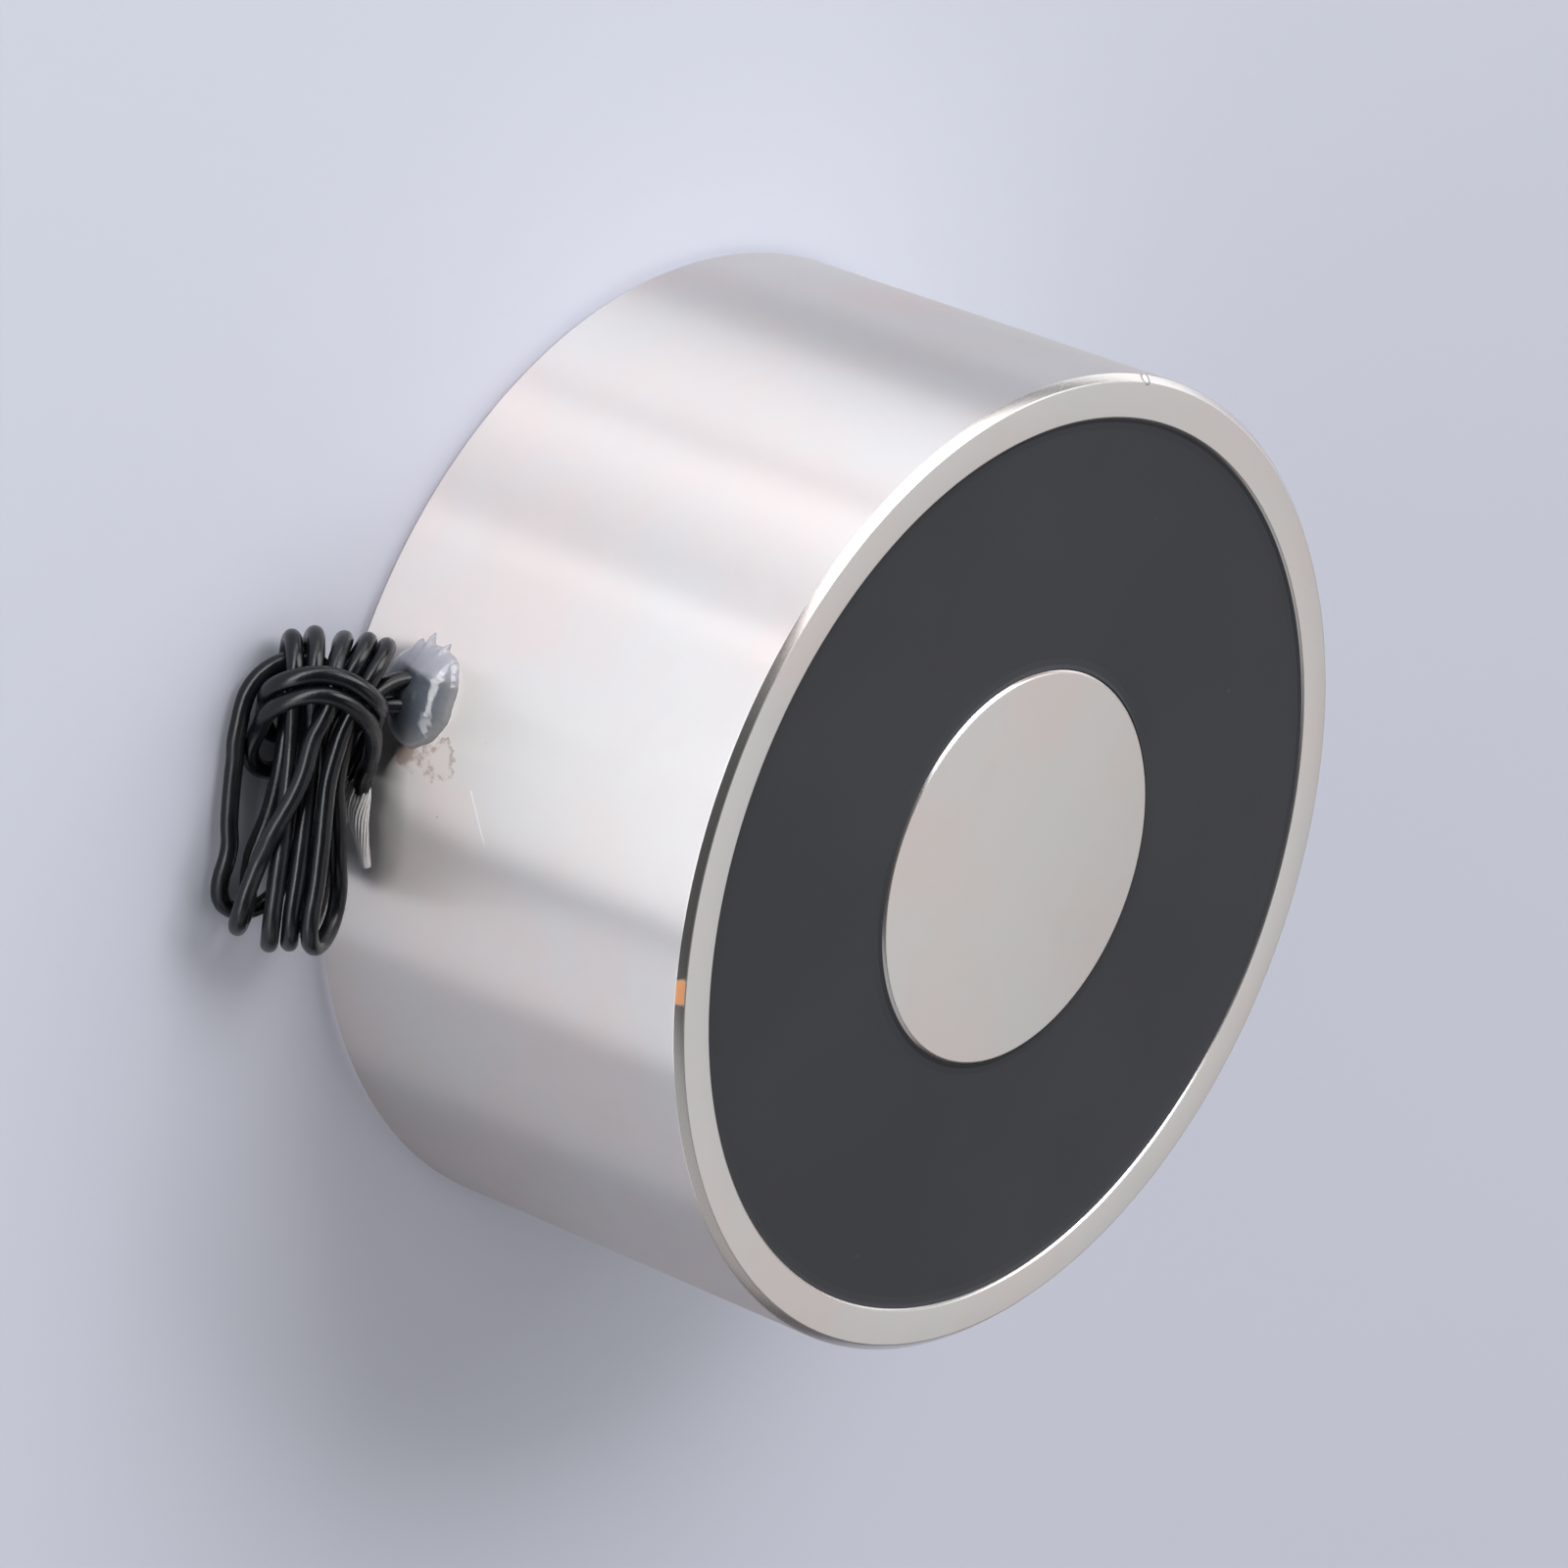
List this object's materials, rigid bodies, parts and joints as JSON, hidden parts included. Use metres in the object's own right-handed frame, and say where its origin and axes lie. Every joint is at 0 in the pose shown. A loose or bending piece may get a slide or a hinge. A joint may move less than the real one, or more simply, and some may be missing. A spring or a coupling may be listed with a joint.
{
  "type": "holding electromagnet",
  "caption": "Round pot holding electromagnet: plated steel shell, centre pole, black resin face and black leads folded into a small hank at the side.",
  "frame": {"origin": "centre of the mounting face, the flat back of the pot, on the magnet's axis", "axes": "+Z along the magnet's axis, out of the holding face; +X towards the lead exit in the side wall"},
  "size_m": [0.0931, 0.08, 0.038],
  "materials": {
    "nickel_plate": "bright nickel plate over turned steel, satin",
    "bobbin_nylon": "natural nylon",
    "enamelled_copper": "enamelled copper wire",
    "winding_tape": "yellow polyester tape",
    "potting_resin": "matte black cast resin",
    "solder": "soft solder",
    "shrink_sleeve": "black shrink sleeve",
    "glass_sleeve": "varnished glass sleeving",
    "lead_insulation": "black PVC, satin",
    "tinned_strands": "twisted tinned copper strands",
    "exit_glue": "clear bluish hot glue, glossy and wrinkled"
  },
  "bodies": {
    "root": {"pot_shell": "nickel_plate", "centre_pole": "nickel_plate", "bobbin": "bobbin_nylon", "coil_winding": "enamelled_copper", "winding_tape": "winding_tape", "potting_resin": "potting_resin", "start_tail": "enamelled_copper", "finish_tail": "enamelled_copper", "start_tail_sleeve": "glass_sleeve", "solder_joint_a": "solder", "solder_joint_b": "solder", "splice_sleeve_a": "shrink_sleeve", "splice_sleeve_b": "shrink_sleeve", "exit_plug": "exit_glue", "lead_a": "lead_insulation", "lead_b": "lead_insulation", "lead_hank": "lead_insulation", "lead_wrap": "lead_insulation", "lead_a_end": "lead_insulation", "lead_b_end": "lead_insulation", "lead_a_tip": "tinned_strands", "lead_b_tip": "tinned_strands"}
  },
  "joints": []
}
